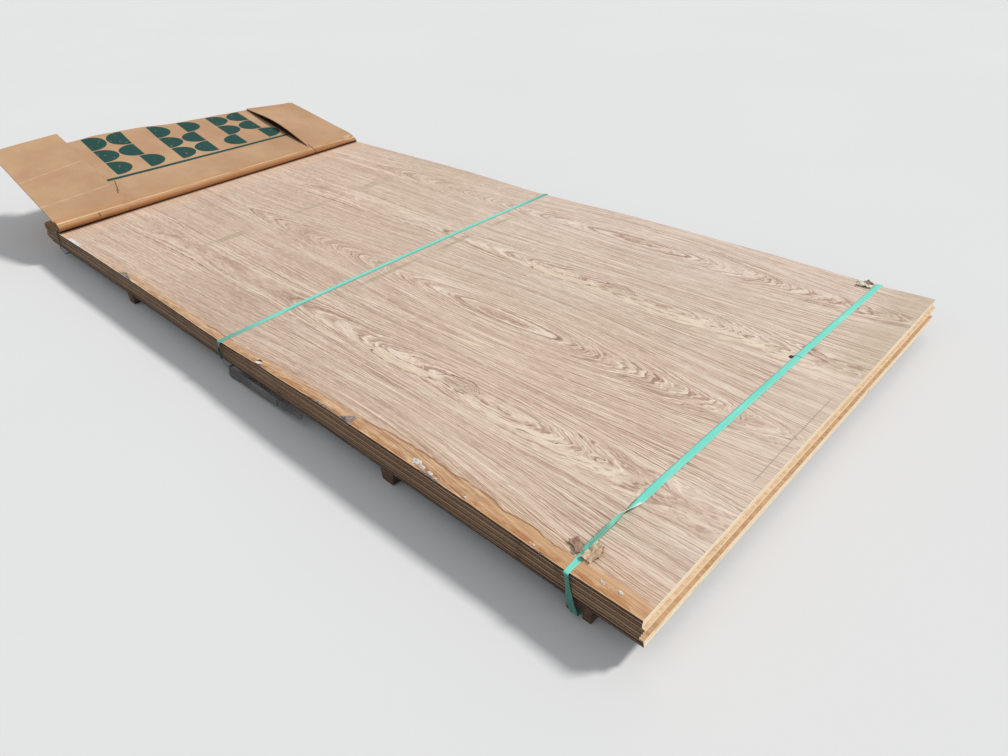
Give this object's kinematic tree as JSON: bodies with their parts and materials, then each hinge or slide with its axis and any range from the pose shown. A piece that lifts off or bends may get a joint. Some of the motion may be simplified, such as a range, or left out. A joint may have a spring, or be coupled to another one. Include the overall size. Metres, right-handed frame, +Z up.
{
  "type": "stack of plywood sheets",
  "caption": "Strapped stack of thin 4 ft by 8 ft plywood sheets on runners, with a corrugated cardboard cover folded back over one end.",
  "frame": {"origin": "on the floor under the middle of the sheets, on the underside of the middle bearer", "axes": "+X along the length of the sheets, away from the end with the cardboard cover; +Y across the sheets; +Z up"},
  "size_m": [2.8413, 1.2317, 0.282],
  "materials": {
    "plywood": "matte",
    "bearer": "matte",
    "strap": "satin",
    "grey_board": "matte",
    "cardboard": "matte"
  },
  "bodies": {
    "root": {"plywood_sheet_01": "plywood", "plywood_sheet_02": "plywood", "plywood_sheet_03": "plywood", "plywood_sheet_04": "plywood", "plywood_sheet_05": "plywood", "plywood_sheet_06": "plywood", "plywood_sheet_07": "plywood", "plywood_sheet_08": "plywood", "plywood_sheet_09": "plywood", "plywood_sheet_10": "plywood", "plywood_sheet_11": "plywood", "bearer_1": "bearer", "bearer_2": "bearer", "bearer_3": "bearer", "bearer_4": "bearer", "bearer_5": "bearer", "strap_near_end": "strap", "strap_middle": "strap", "strap_cover_end": "strap", "base_liner": "grey_board", "cardboard_cover": "cardboard"}
  },
  "joints": []
}
